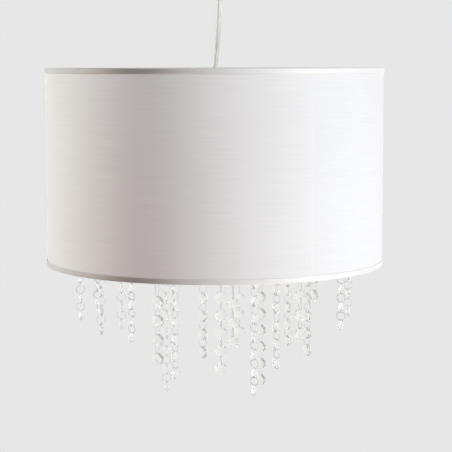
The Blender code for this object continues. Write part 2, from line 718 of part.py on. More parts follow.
def add_link(shape, top, length, matrix):
    """A wire link with level flats at its ends, where it passes through its neighbours."""
    bottom = top - length
    rise = LINK_LENGTH / 2
    half = [(LINK_FLAT / 2, top), (LINK_WIDTH / 2, top - rise), (LINK_FLAT / 2, bottom)]
    if length > LINK_LENGTH:
        half.insert(2, (LINK_WIDTH / 2, bottom + rise))
    outline = half + [(-across, z) for across, z in reversed(half)]
    path = [matrix @ Vector((0, across, z)) for across, z in outline]
    sweep(shape, path, matrix @ Vector((-1, 0, 0)), LINK_WIRE_RADIUS, 3, closed=True)


def add_strand(name, circle_radius, angle_deg, twist_deg, reach, materials):
    """A strand of crystals threaded on links, whose first link rides on its wire circle.

    The spare length of the strand, less than one pitch, is in its first link.
    """
    angle = math.radians(angle_deg)
    origin = radial(circle_radius, angle_deg, circle_height)
    place = Matrix.Translation(origin) @ Matrix.Rotation(angle, 4, "Z")
    twist = Matrix.Rotation(math.radians(twist_deg), 3, "Z")
    spare = reach * strand_pitch - shortest_reach
    count = 1 + math.floor(spare / strand_pitch)
    length = LINK_LENGTH + spare - (count - 1) * strand_pitch
    top = first_flat
    crystals = bmesh.new()
    links = bmesh.new()
    for _ in range(count):
        add_link(links, top, length, twist)
        middle = top - length - hole_distance
        add_crystal(crystals, Vector((0, 0, middle)), twist)
        top = middle - hole_distance
        length = LINK_LENGTH
    for shape in (crystals, links):
        bmesh.ops.transform(shape, matrix=place, verts=shape.verts)
    for face in links.faces:
        face.material_index = 1
    strand = finish(name, crystals, materials, origin, angle)
    combine(strand, finish(name + "_links", links, materials, origin, angle), "UNION")


def add_strands(materials):
    """The strands of all three circles."""
    circles = (
        ("outer", outer_circle, OUTER_ANGLES_DEG, OUTER_TWISTS_DEG, OUTER_REACH_SHARES),
        ("middle", middle_circle, MIDDLE_ANGLES_DEG, MIDDLE_TWISTS_DEG, MIDDLE_REACH_SHARES),
        ("inner", INNER_CIRCLE_RADIUS, INNER_ANGLES_DEG, INNER_TWISTS_DEG, INNER_REACH_SHARES),
    )
    for circle, radius, angles, twists, reaches in circles:
        for number, (angle, twist, reach) in enumerate(zip(angles, twists, reaches), 1):
            add_strand(f"strand_{circle}_{number}", radius, angle, twist, reach, materials)


def main():
    for old in list(bpy.data.objects):
        bpy.data.objects.remove(old)
    steel = make_material("zinc_steel", (0.62, 0.63, 0.64), 0.35, metallic=1.0)
    white_metal = make_material("white_enamel", (0.86, 0.86, 0.85), 0.35)
    white_wire = make_material("white_wire", (0.84, 0.84, 0.83), 0.4)
    plastic = make_material("white_plastic", (0.85, 0.85, 0.84), 0.4)
    ceramic = make_material("ceramic", (0.80, 0.78, 0.74), 0.5)
    brass = make_material("brass", (0.80, 0.62, 0.32), 0.3, metallic=1.0)
    lead = make_material("lead_sheath", (0.70, 0.68, 0.66), 0.5)
    sheath = make_material("clear_sheath", (0.85, 0.84, 0.82), 0.15, transmission=0.5)
    opal = make_material("opal_glass", (0.93, 0.92, 0.90), 0.3)
    fabric = make_material("slub_fabric", (0.88, 0.87, 0.85), 0.85)
    lining = make_material("shade_liner", (0.92, 0.92, 0.90), 0.5)
    crystal = make_material("crystal", (0.97, 0.98, 0.99), 0.03, transmission=1.0)
    link_wire = make_material("link_wire", (0.35, 0.35, 0.36), 0.3, metallic=1.0)

    ear_inner = add_bracket(steel)
    add_rose(white_metal, steel, ear_inner)

    stem_top = rose_exit + GRIP_NUT_LENGTH + GRIP_STEM_LENGTH
    stem_bottom = holder_entry - GRIP_NUT_LENGTH - GRIP_STEM_LENGTH
    block_top = -BRACKET_THICKNESS - SEAT_GAP
    block_bottom = block_top - TERMINAL_HEIGHT
    shape = bmesh.new()
    prism(shape, box_outline(TERMINAL_WIDTH, TERMINAL_DEPTH), block_bottom, block_top)
    block = finish("terminal_block", shape, [plastic])
    entries = add_entries("terminal_entries", block_bottom - CUT_OVERRUN, block_bottom + ENTRY_DEPTH)
    combine(block, entries, "DIFFERENCE")
    add_leads(
        "rose_lead",
        block_bottom + ENTRY_DEPTH - SEAT_GAP,
        stem_top + SEAT_GAP,
        ENTRY_SPACING,
        LEAD_SPACING,
        lead,
        (0, 0, 0),
    )

    add_grip("rose", rose_exit, True, plastic, steel, ROSE_WALL)
    add_cord(sheath)
    add_grip("holder", holder_entry, False, plastic, steel, CAP_WALL)
    base_top, contact = add_holder(plastic, ceramic, brass)
    add_leads(
        "holder_lead",
        stem_bottom - SEAT_GAP,
        base_top - ENTRY_DEPTH / 2 + SEAT_GAP,
        LEAD_SPACING,
        ENTRY_SPACING,
        lead,
        (0, 0, holder_entry),
    )
    add_clamp_ring(plastic)
    add_bulb(contact - SEAT_GAP, opal, steel)

    add_spider(white_wire)
    add_shade(fabric, lining, fabric)
    add_strand_frame(white_wire)
    add_strands([crystal, link_wire])


main()
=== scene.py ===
import json
import math

import bmesh
import bpy
import numpy as np
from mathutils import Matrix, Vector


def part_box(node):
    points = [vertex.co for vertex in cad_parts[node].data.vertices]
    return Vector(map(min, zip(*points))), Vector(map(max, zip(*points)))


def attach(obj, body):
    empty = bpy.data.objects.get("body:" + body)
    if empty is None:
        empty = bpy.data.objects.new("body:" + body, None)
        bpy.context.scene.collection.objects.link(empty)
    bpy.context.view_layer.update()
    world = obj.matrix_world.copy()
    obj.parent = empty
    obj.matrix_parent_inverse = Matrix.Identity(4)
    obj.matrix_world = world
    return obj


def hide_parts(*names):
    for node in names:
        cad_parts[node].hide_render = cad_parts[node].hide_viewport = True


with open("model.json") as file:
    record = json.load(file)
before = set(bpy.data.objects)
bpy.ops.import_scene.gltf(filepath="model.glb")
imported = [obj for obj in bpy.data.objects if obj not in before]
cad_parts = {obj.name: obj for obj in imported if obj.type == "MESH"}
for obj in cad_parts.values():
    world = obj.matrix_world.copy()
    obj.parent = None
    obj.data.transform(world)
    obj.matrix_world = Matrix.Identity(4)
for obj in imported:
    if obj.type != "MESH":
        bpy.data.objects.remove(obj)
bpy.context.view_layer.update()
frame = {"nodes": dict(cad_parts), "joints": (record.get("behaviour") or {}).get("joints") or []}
nodes = frame["nodes"]
print("frame loaded")

# Places that the pieces share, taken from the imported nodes
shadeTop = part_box("shade_hem_top")[1][2]
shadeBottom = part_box("shade_hem_bottom")[0][2]
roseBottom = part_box("rose_cup")[0][2]
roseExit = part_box("rose_cord_grip")[0][2]
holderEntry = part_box("holder_cord_grip")[1][2]

# Camera, backdrop and lamps
photoView = {
    "distance": 1.835,  # from the lamp's axis
    "rise": 0.003,  # over the shade's top edge
    "pitch": 5.953,  # degrees down
    "aside": 0.416,  # degrees that the camera looks past the axis
    "sensor": 36,  # mm, the frame's width
    "focal": 1543 / 452,  # in widths of the frame
}

cameraData = bpy.data.cameras.new("photoCamera")
cameraData.lens = photoView["focal"] * photoView["sensor"]
cameraData.sensor_width = photoView["sensor"]
camera = bpy.data.objects.new("photoCamera", cameraData)
camera.location = (0, -photoView["distance"], shadeTop + photoView["rise"])
camera.rotation_euler = (math.radians(90 - photoView["pitch"]), 0, math.radians(-photoView["aside"]))
bpy.context.scene.collection.objects.link(camera)
bpy.context.scene.camera = camera
bpy.context.scene.view_settings.view_transform = "Standard"

room = {
    "background": 0.799,  # linear grey of the photograph's plain backdrop
    "ambient": 0.02,  # light that the surroundings give to matt surfaces
    # what glass and metal see round the lamp, by the direction's share towards the right
    "studio": (
        (-1.0, (0.8, 0.72, 0.6)),
        (-0.95, (0.3, 0.26, 0.2)),
        (-0.86, (0.02, 0.015, 0.01)),
        (-0.68, (0.02, 0.016, 0.012)),
        (-0.55, (0.2, 0.18, 0.165)),
        (-0.4, (0.45, 0.43, 0.415)),
        (-0.15, (0.6, 0.59, 0.58)),
        (0.1, (0.72, 0.72, 0.71)),
        (0.45, (0.98, 0.98, 0.97)),
        (1.0, (1.22, 1.21, 1.2)),
    ),
    # the direction's shares away from the camera where the next table begins, and where it is full
    "farSide": (0.0, 0.7),
    "behind": (
        (-1.0, (0.799, 0.799, 0.799)),
        (-0.25, (0.799, 0.799, 0.799)),
        (0.02, (0.93, 0.93, 0.93)),
        (0.3, (1.15, 1.15, 1.15)),
        (1.0, (1.15, 1.15, 1.15)),
    ),
    # what light that has passed through glass meets, by the same share
    "throughGlass": (
        (-1.0, (0.76, 0.76, 0.77)),
        (-0.6, (0.74, 0.765, 0.83)),
        (-0.2, (0.79, 0.79, 0.8)),
        (0.25, (0.9, 0.89, 0.84)),
        (0.5, (0.98, 0.97, 0.91)),
        (0.7, (1.02, 1.02, 1.0)),
        (0.76, (1.6, 1.6, 1.6)),
        (0.88, (1.6, 1.6, 1.6)),
        (1.0, (0.95, 0.95, 0.95)),
    ),
    "glassTop": 0.74,  # share of that table that is left straight above
    "glassGlow": 0.9,  # brightest grey that glass meets on the camera's side
    # shares away from the camera up to which the glow is held back, and from which it is full
    "glassNear": (-0.4, -0.1),
    "floorHeight": -0.95,
    "floorRadius": 0.9,
    "floorSides": 64,
    "floorFade": (0.35, 0.98),  # shares of the radius where it begins to fade, and where it is gone
    "floorGrey": 0.85,
    "floorLift": 0.08,  # light of its own that the camera alone sees
}

# azimuth from the front towards the right, elevation, distance, width, height, colour, watts;
# the inner lamp stands straight below, for the shade's inside alone
lamps = {
    "keyLamp": (64, -6, 2.2, 1.3, 1.6, (0.97, 0.981, 1), 51.2),
    "leftLamp": (-108, 6, 2.4, 0.6, 1.3, (0.961, 1, 0.94), 48.5),
    "frontLamp": (-18, 30, 1.8, 0.7, 0.5, (0.783, 0.939, 1), 10.2),
    "lowLamp": (-35, -12, 1.5, 0.5, 0.4, (1, 0.531, 0.39), 3.54),
    "backLamp": (176, 8, 2.6, 1.0, 1.0, (1, 0.99, 0.98), 24),
    "innerLamp": (0, -90, 0.55, 0.25, 0.25, (1, 0.98, 0.95), 4.5),
}
lampsInGlass = ("leftLamp", "frontLamp")  # glass shows these as glints


def aimLamp(name, azimuth, elevation, distance, width, height, colour, watts):
    data = bpy.data.lights.new(name, "AREA")
    data.shape = "RECTANGLE"
    data.size = width
    data.size_y = height
    data.color = colour
    data.energy = watts
    lamp = bpy.data.objects.new(name, data)
    across = math.radians(azimuth)
    up = math.radians(elevation)
    level = distance * math.cos(up)
    middle = (shadeTop + shadeBottom) / 2
    lamp.location = (level * math.sin(across), -level * math.cos(across), middle + distance * math.sin(up))
    lamp.rotation_euler = (math.radians(90) - up, 0, across)
    lamp.visible_camera = False
    lamp.visible_glossy = False  # metal and satin reflect the studio's table alone
    lamp.visible_transmission = name in lampsInGlass
    bpy.context.scene.collection.objects.link(lamp)


for lampName, lampFacts in lamps.items():
    aimLamp(lampName, *lampFacts)


def wire(tree, start, end):
    tree.links.new(start, end)


def addNode(tree, kind, **settings):
    node = tree.nodes.new(kind)
    for key, value in settings.items():
        if key in node.inputs:
            node.inputs[key].default_value = value
        else:
            setattr(node, key, value)
    return node


def addRange(tree, value, low, high, toLow, toHigh, kind="LINEAR"):
    ramp = addNode(tree, "ShaderNodeMapRange", interpolation_type=kind)
    for key, number in (("From Min", low), ("From Max", high), ("To Min", toLow), ("To Max", toHigh)):
        ramp.inputs[key].default_value = number
    wire(tree, value, ramp.inputs["Value"])
    return ramp.outputs[0]


def addMath(tree, operation, first, second):
    node = addNode(tree, "ShaderNodeMath", operation=operation)
    for index, value in enumerate((first, second)):
        if isinstance(value, (int, float)):
            node.inputs[index].default_value = value
        else:
            wire(tree, value, node.inputs[index])
    return node.outputs[0]


def mixColours(tree, share, first, second):
    mix = addNode(tree, "ShaderNodeMix", data_type="RGBA")
    for index, value in ((0, share), (6, first), (7, second)):
        wire(tree, value, mix.inputs[index])
    return mix.outputs[2]


def mixShaders(tree, share, first, second):
    mix = addNode(tree, "ShaderNodeMixShader")
    for index, value in enumerate((share, first, second)):
        wire(tree, value, mix.inputs[index])
    return mix.outputs[0]


def makeWorld():
    world = bpy.data.worlds.new("studio")
    bpy.context.scene.world = world
    world.use_nodes = True
    tree = world.node_tree
    tree.nodes.clear()
    output = addNode(tree, "ShaderNodeOutputWorld")
    path = addNode(tree, "ShaderNodeLightPath")
    grey = room["background"]
    plain = addNode(tree, "ShaderNodeBackground", Color=(grey, grey, grey, 1), Strength=1.0)
    ambient = addNode(tree, "ShaderNodeBackground", Color=(1, 1, 1, 1), Strength=room["ambient"])
    # the direction's share towards the right picks a grey from each table
    place = addNode(tree, "ShaderNodeTexCoord")
    split = addNode(tree, "ShaderNodeSeparateXYZ")
    wire(tree, place.outputs["Generated"], split.inputs[0])
    across = addRange(tree, split.outputs["X"], -1, 1, 0, 1)
    tables = {}
    for key in ("studio", "throughGlass", "behind"):
        ramp = addNode(tree, "ShaderNodeValToRGB")
        ramp.color_ramp.interpolation = "EASE"
        while len(ramp.color_ramp.elements) < len(room[key]):
            ramp.color_ramp.elements.new(0.5)
        for element, (share, shine) in zip(ramp.color_ramp.elements, room[key]):
            element.position = (share + 1) / 2
            element.color = (*shine, 1)
        wire(tree, across, ramp.inputs["Fac"])
        tables[key] = ramp.outputs["Color"]
    # reflections pass from the near side's table to the far side's
    depth = addRange(tree, split.outputs["Y"], *room["farSide"], 0, 1, "SMOOTHSTEP")
    mirrored = mixColours(tree, depth, tables["studio"], tables["behind"])
    # what shows through glass is dimmed upwards, and its glow is held back on the camera's side
    dimmed = addNode(tree, "ShaderNodeVectorMath", operation="SCALE")
    wire(tree, tables["throughGlass"], dimmed.inputs[0])
    height = addRange(tree, split.outputs["Z"], 0, 1, 1, room["glassTop"], "SMOOTHSTEP")
    wire(tree, height, dimmed.inputs["Scale"])
    held = addNode(tree, "ShaderNodeVectorMath", operation="MINIMUM")
    wire(tree, dimmed.outputs[0], held.inputs[0])
    held.inputs[1].default_value = (room["glassGlow"],) * 3
    near = addRange(tree, split.outputs["Y"], *room["glassNear"], 0, 1, "SMOOTHSTEP")
    through = mixColours(tree, near, held.outputs[0], dimmed.outputs[0])
    bounced = mixColours(tree, path.outputs["Is Transmission Ray"], mirrored, through)
    studio = addNode(tree, "ShaderNodeBackground", Strength=1.0)
    wire(tree, bounced, studio.inputs["Color"])
    seen = addMath(tree, "MAXIMUM", path.outputs["Is Glossy Ray"], path.outputs["Is Transmission Ray"])
    hidden = mixShaders(tree, seen, ambient.outputs[0], studio.outputs[0])
    whole = mixShaders(tree, path.outputs["Is Camera Ray"], hidden, plain.outputs[0])
    wire(tree, whole, output.inputs["Surface"])


makeWorld()


def makeFloor():
    # a pale disc under the lamp that fades out towards its edge and doesn't hide the lamp from below
    radius, sides = room["floorRadius"], room["floorSides"]
    angles = np.linspace(0, math.tau, sides + 1)[:-1]
    height = np.full(sides, room["floorHeight"])
    edge = np.stack([radius * np.cos(angles), radius * np.sin(angles), height], 1)
    mesh = bpy.data.meshes.new("floor")
    mesh.from_pydata(edge.tolist(), [], [list(range(sides))])
    floor = bpy.data.objects.new("floor", mesh)
    bpy.context.scene.collection.objects.link(floor)
    material = bpy.data.materials.new("paleFloor")
    material.use_nodes = True
    tree = material.node_tree
    shader = tree.nodes["Principled BSDF"]
    shader.inputs["Base Color"].default_value = (*(room["floorGrey"],) * 3, 1)
    shader.inputs["Roughness"].default_value = 0.9
    # the camera alone sees it paler, so that it nears the backdrop's grey and keeps the lamp's shadow
    shader.inputs["Emission Color"].default_value = (1, 1, 1, 1)
    path = addNode(tree, "ShaderNodeLightPath")
    lift = addMath(tree, "MULTIPLY", path.outputs["Is Camera Ray"], room["floorLift"])
    wire(tree, lift, shader.inputs["Emission Strength"])
    place = addNode(tree, "ShaderNodeTexCoord")
    level = addNode(tree, "ShaderNodeVectorMath", operation="MULTIPLY")
    level.inputs[1].default_value = (1, 1, 0)
    wire(tree, place.outputs["Object"], level.inputs[0])
    reach = addNode(tree, "ShaderNodeVectorMath", operation="LENGTH")
    wire(tree, level.outputs[0], reach.inputs[0])
    start, end = room["floorFade"]
    fade = addRange(tree, reach.outputs["Value"], radius * start, radius * end, 0, 1, "SMOOTHSTEP")
    behind = addNode(tree, "ShaderNodeNewGeometry")
    most = addMath(tree, "MAXIMUM", fade, behind.outputs["Backfacing"])
    clear = addNode(tree, "ShaderNodeBsdfTransparent")
    mix = mixShaders(tree, most, shader.outputs[0], clear.outputs[0])
    wire(tree, mix, tree.nodes["Material Output"].inputs["Surface"])
    mesh.materials.append(material)
    floor.visible_glossy = floor.visible_transmission = False  # glass and metal meet the tables alone


makeFloor()
print("room and camera ready")


def startMaterial(name, colour, roughness, **sockets):
    material = bpy.data.materials.new(name)
    material.use_nodes = True
    tree = material.node_tree
    shader = tree.nodes["Principled BSDF"]
    shader.inputs["Base Color"].default_value = (*colour, 1)
    shader.inputs["Roughness"].default_value = roughness
    for key, value in sockets.items():
        shader.inputs[key.replace("_", " ")].default_value = value
    return material, tree, shader


def patternPlace(tree, source, scale):
    # coordinates of the pattern, from Object or UV, stretched per axis
    place = addNode(tree, "ShaderNodeTexCoord")
    mapping = addNode(tree, "ShaderNodeMapping")
    mapping.inputs["Scale"].default_value = scale
    wire(tree, place.outputs[source], mapping.inputs["Vector"])
    return mapping.outputs["Vector"]


def addNoise(tree, where, scale, detail=3.0, roughness=0.5):
    noise = addNode(tree, "ShaderNodeTexNoise", Scale=scale, Detail=detail, Roughness=roughness)
    wire(tree, where, noise.inputs["Vector"])
    return noise.outputs["Fac"]


def addTint(tree, value, shader, dark, light):
    ramp = addNode(tree, "ShaderNodeValToRGB")
    ramp.color_ramp.elements[0].color = (*dark, 1)
    ramp.color_ramp.elements[1].color = (*light, 1)
    wire(tree, value, ramp.inputs["Fac"])
    wire(tree, ramp.outputs["Color"], shader.inputs["Base Color"])


def addBump(tree, value, shader, strength, distance):
    bump = addNode(tree, "ShaderNodeBump", Strength=strength, Distance=distance)
    wire(tree, value, bump.inputs["Height"])
    wire(tree, bump.outputs["Normal"], shader.inputs["Normal"])


def speckled(name, colour, roughness, spread, grain, bump, **sockets):
    # a plain finish with a faint mottle in its colour and roughness, and a fine uneven skin
    material, tree, shader = startMaterial(name, colour, roughness, **sockets)
    where = patternPlace(tree, "Object", (1, 1, 1))
    mottle = addNoise(tree, where, 60, 4)
    fine = addNoise(tree, where, grain, 2)
    dark = tuple(max(0, c - spread) for c in colour)
    light = tuple(min(1, c + spread / 2) for c in colour)
    addTint(tree, mottle, shader, dark, light)
    wire(tree, addRange(tree, fine, 0.3, 0.7, roughness * 0.85, roughness * 1.2), shader.inputs["Roughness"])
    addBump(tree, fine, shader, bump, 0.0001)
    return material


fabricLook = {
    "colour": (0.873, 0.862, 0.858),
    "shade": (0.815, 0.803, 0.802),
    "roughness": 0.5,
    "gloss": 0.03,
    "slubLength": 0.07,  # m, along the weft
    "slubHeight": 0.0011,  # m
    "thread": 0.00075,  # m, between threads
    "streaks": 0.75,  # shares of the slubs, the cloudiness and the flecks in the tint
    "clouds": 0.25,
    # lighter flecks in the tint: partly thicker yarn, partly a painted sparkle in place of the threads'
    # glints
    "flecks": 0.3,
    "ribbing": 3.14 / math.tau,  # scale and unevenness of the ribs
    "waver": 0.6,
}


def makeFabric(name, **sockets):
    # slub weave: long thin level streaks of thicker yarn over a fine plain weave, on the UV map in metres;
    # its lighter flecks are partly yarn and partly painted sparkle
    material, tree, shader = startMaterial(name, fabricLook["colour"], fabricLook["roughness"], **sockets)
    shader.inputs["Specular IOR Level"].default_value = fabricLook["gloss"]

    def weighed(value, share):
        return addMath(tree, "MULTIPLY", value, share)

    long = patternPlace(tree, "UV", (1 / fabricLook["slubLength"], 1 / fabricLook["slubHeight"], 1))
    streak = addNoise(tree, long, 1.0, 2, 0.6)
    short = patternPlace(tree, "UV", (3.2 / fabricLook["slubLength"], 0.8 / fabricLook["slubHeight"], 1))
    # lighter flecks in the tint, partly painted sparkle standing in for the glints of the threads' sheen
    fleckAndSparkle = addRange(tree, addNoise(tree, short, 1.0, 1, 0.4), 0.66, 0.8, 0, 1)
    cloud = addNoise(tree, patternPlace(tree, "UV", (9, 9, 1)), 1.0, 2)
    mixed = addMath(tree, "ADD", weighed(streak, fabricLook["streaks"]), weighed(cloud, fabricLook["clouds"]))
    bright = addMath(tree, "ADD", mixed, weighed(fleckAndSparkle, fabricLook["flecks"]))
    spread = addRange(tree, bright, 0.3, 0.75, 0, 1)
    light = tuple(min(1, c * 1.012) for c in fabricLook["colour"])
    addTint(tree, spread, shader, fabricLook["shade"], light)
    rows = patternPlace(tree, "UV", (1 / fabricLook["thread"], 1 / fabricLook["thread"], 1))
    waves = {"Scale": fabricLook["ribbing"], "Distortion": fabricLook["waver"]}
    wefts = addNode(tree, "ShaderNodeTexWave", bands_direction="Y", **waves)
    warps = addNode(tree, "ShaderNodeTexWave", bands_direction="X", **waves)
    wire(tree, rows, wefts.inputs["Vector"])
    wire(tree, rows, warps.inputs["Vector"])
    threads = addMath(tree, "ADD", wefts.outputs["Fac"], weighed(warps.outputs["Fac"], 0.5))
    height = addMath(tree, "ADD", weighed(threads, 0.25), weighed(bright, 1.2))
    addBump(tree, height, shader, 0.22, 0.0002)
    return material


def makeBrushed(name, colour, roughness, along, spread=0.05):
    # metal with fine lines drawn out along one way
    material, tree, shader = startMaterial(name, colour, roughness, Metallic=1.0)
    lines = addNoise(tree, patternPlace(tree, "Object", along), 1.0, 3)
    dark = tuple(max(0, c - spread) for c in colour)
    addTint(tree, lines, shader, dark, colour)
    wire(tree, addRange(tree, lines, 0.3, 0.7, roughness * 0.75, roughness * 1.3), shader.inputs["Roughness"])
    addBump(tree, lines, shader, 0.08, 0.0001)
    return material


coverFabric = makeFabric("slubFabric")
hemFabric = makeFabric("hemRibbon", Metallic=0.75, Roughness=0.38)
# name, colour, roughness, spread of the mottle, grain, bump
linerSkin = speckled("linerLaminate", (0.9, 0.9, 0.88), 0.45, 0.02, 400, 0.1)
whiteEnamel = speckled("whiteEnamel", (0.86, 0.86, 0.85), 0.3, 0.02, 700, 0.08, Coat_Weight=0.4)
whiteWire = speckled("whiteWire", (0.84, 0.84, 0.83), 0.4, 0.04, 1500, 0.15)
whitePlastic = speckled("whitePlastic", (0.85, 0.85, 0.84), 0.32, 0.02, 1200, 0.1)
socketCeramic = speckled("socketCeramic", (0.8, 0.78, 0.74), 0.55, 0.05, 900, 0.2)
# name, colour, roughness, grain along each axis
zincSteel = makeBrushed("zincSteel", (0.62, 0.63, 0.64), 0.32, (900, 60, 60))
brightBrass = makeBrushed("brightBrass", (0.8, 0.6, 0.3), 0.25, (60, 60, 900))
bulbMetal = makeBrushed("bulbMetal", (0.72, 0.72, 0.72), 0.24, (60, 60, 700))
# plain finishes again, with the same values
opalGlass = speckled("opalGlass", (0.93, 0.92, 0.9), 0.22, 0.02, 200, 0.03, Coat_Weight=0.6)
leadCream = speckled("leadCream", (0.95, 0.912, 0.88), 0.4, 0.04, 1500, 0.1)
leadGrey = speckled("leadGrey", (0.82, 0.79, 0.762), 0.4, 0.1, 1500, 0.1)
linkWire = speckled("linkWire", (0.85, 0.84, 0.83), 0.3, 0.1, 1800, 0.1, Metallic=1.0)


def makeClear(name, colour, roughness, index, body, grain, bump):
    # clear material with a faint unevenness, so that its reflections break up
    material, tree, shader = startMaterial(name, colour, roughness)
    shader.inputs["Transmission Weight"].default_value = 1.0
    shader.inputs["IOR"].default_value = index
    shader.inputs["Alpha"].default_value = body
    where = patternPlace(tree, "Object", (1, 1, 1))
    fine = addNoise(tree, where, grain, 2)
    wire(tree, addRange(tree, fine, 0.3, 0.7, roughness * 0.6, roughness * 1.4), shader.inputs["Roughness"])
    addTint(tree, addNoise(tree, where, 40, 2), shader, tuple(c * 0.97 for c in colour), colour)
    addBump(tree, fine, shader, bump, 0.0001)
    return material


# name, colour, roughness, refraction, body, grain, bump
crystalGlass = makeClear("crystalGlass", (0.99, 0.99, 0.99), 0.03, 1.45, 0.52, 300, 0.02)
clearSheath = makeClear("clearSheath", (0.985, 0.983, 0.975), 0.12, 1.3, 0.62, 500, 0.05)
print("finishes made")


def joinGrids(name, grids, material, body, replaced=()):
    # Each grid holds points by row and column, joined by four-sided faces. A grid's facts say whether
    # its rows and its columns close on themselves, and the UV values of each column and row in metres.
    points, faces, places = [], [], []
    first = 0
    for grid, closeRows, closeColumns, across, down in grids:
        rows, columns = grid.shape[:2]
        r = np.arange(rows if closeRows else rows - 1)
        c = np.arange(columns if closeColumns else columns - 1)
        r, c = np.meshgrid(r, c, indexing="ij")
        cornerRows = np.stack([r, r + 1, r + 1, r], -1)
        cornerColumns = np.stack([c, c, c + 1, c + 1], -1)
        index = first + (cornerRows % rows) * columns + cornerColumns % columns
        faces.append(index.reshape(-1, 4))
        places.append(np.stack([across[cornerColumns], down[cornerRows]], -1).reshape(-1, 2))
        points.append(grid.reshape(-1, 3))
        first += rows * columns
    mesh = bpy.data.meshes.new(name)
    mesh.from_pydata(np.concatenate(points).tolist(), [], np.concatenate(faces).tolist())
    mesh.uv_layers.new(name="lay").data.foreach_set("uv", np.concatenate(places).astype(np.float32).ravel())
    shape = bmesh.new()
    shape.from_mesh(mesh)
    bmesh.ops.remove_doubles(shape, verts=shape.verts, dist=1e-7)
    bmesh.ops.recalc_face_normals(shape, faces=shape.faces)
    shape.to_mesh(mesh)
    shape.free()
    mesh.shade_smooth()
    mesh.set_sharp_from_angle(angle=math.radians(40))
    mesh.materials.append(material)
    piece = bpy.data.objects.new(name, mesh)
    bpy.context.scene.collection.objects.link(piece)
    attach(piece, body)
    if replaced:
        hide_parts(*replaced)
    return piece


def lengths(points, closed):
    # the sum of the steps up to each point of a line, with the closing step too
    following = np.concatenate([points, points[:1]]) if closed else points
    steps = np.linalg.norm(np.diff(following, axis=0), axis=1)
    run = np.concatenate([[0], np.cumsum(steps)])
    return run if closed else np.concatenate([run, run[-1:]])


def turned(profile, sides, closed=True, wobble=None):
    # A profile carried round Z: each point (radius, height) goes to radius times (cos, sin) of the
    # angle at its height. wobble changes the radius by row and angle, for ribs and threads.
    profile = np.asarray(profile, float)
    angles = np.arange(sides) * math.tau / sides
    radius = np.repeat(profile[:, :1], sides, 1)
    if wobble is not None:
        radius = wobble(radius, profile[:, 1:], angles[None, :])
    height = np.repeat(profile[:, 1:], sides, 1)
    grid = np.stack([radius * np.cos(angles), radius * np.sin(angles), height], -1)
    across = np.arange(sides + 1) * math.tau / sides * profile[:, 0].max()
    return grid, closed, True, across, lengths(profile, closed)


def roundWire(path, radius, sides, normal, closed=False):
    # A circle carried along a path that lies square to the normal: each point is the path's, plus
    # radius times cos along the side way and sin along the normal. Open ends close to a point.
    path = np.asarray(path, float)
    if closed:
        tangent = np.roll(path, -1, 0) - np.roll(path, 1, 0)
    else:
        tangent = np.gradient(path, axis=0)
    tangent /= np.linalg.norm(tangent, axis=1, keepdims=True)
    normal = np.asarray(normal, float)
    side = np.cross(tangent, normal)
    side /= np.linalg.norm(side, axis=1, keepdims=True)
    sizes = np.full(len(path), radius)
    if not closed:
        path = np.concatenate([path[:1], path, path[-1:]])
        side = np.concatenate([side[:1], side, side[-1:]])
        sizes = np.concatenate([[0], sizes, [0]])
    angles = np.arange(sides) * math.tau / sides
    circle = side[:, None] * np.cos(angles)[:, None] + normal * np.sin(angles)[:, None]
    grid = path[:, None] + circle * sizes[:, None, None]
    across = np.arange(sides + 1) * math.tau / sides * radius
    return grid, closed, True, across, lengths(path, closed)


def corner(middle, radii, start, end, steps):
    # points of a quarter of an ellipse in a profile, between two angles in degrees
    angles = np.radians(np.linspace(start, end, steps))
    return np.stack([middle[0] + radii[0] * np.cos(angles), middle[1] + radii[1] * np.sin(angles)], 1)


def profileOf(*stretches):
    # points and stretches of points joined into one line
    return np.concatenate([np.atleast_2d(np.asarray(stretch, float)) for stretch in stretches])


def facetShare(sides):
    # how far in the flats of a faceted round lie, as a share of its radius
    return math.cos(math.pi / sides)


def radial(radius, degrees, height):
    # the point at an angle from the front towards the right
    angle = math.radians(degrees)
    return np.array([radius * math.sin(angle), -radius * math.cos(angle), height])


rose = {"radius": 0.045, "wall": 0.0016, "corner": 0.011, "hole": 0.0049, "edge": 0.0004}


def makeRose():
    outer = rose["radius"] * facetShare(20)  # inside the faceted solid's flats
    inner = outer - rose["wall"]
    bend, edge = rose["corner"], rose["edge"]
    low = roseBottom
    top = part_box("rose_cup")[1][2]
    outline = profileOf(
        (rose["hole"], low),
        corner((outer - bend, low + bend), (bend, bend), -90, 0, 10),
        corner((outer - edge, top - edge), (edge, edge), 0, 90, 4),
        (inner, top),
        corner((outer - bend, low + bend), (bend - rose["wall"], bend - rose["wall"]), 0, -90, 10),
        (rose["hole"], low + rose["wall"]),
    )
    joinGrids("roseCup", [turned(outline, 96)], whiteEnamel, "mount_base", ["rose_cup"])


makeRose()

grip = {
    "nut": 0.0068,  # radius, like mouth and stem
    "length": 0.010,
    "mouth": 0.0036,
    "depth": 0.0042,  # of the mouth
    "lip": 0.0006,
    "shoulder": 0.0016,
    "stem": 0.0046 * 0.95,
    "end": 0.0175,  # of the stem, from the mouth
    "ridges": 20,
    "ridge": 0.00035,  # depth of the furrows between them
}


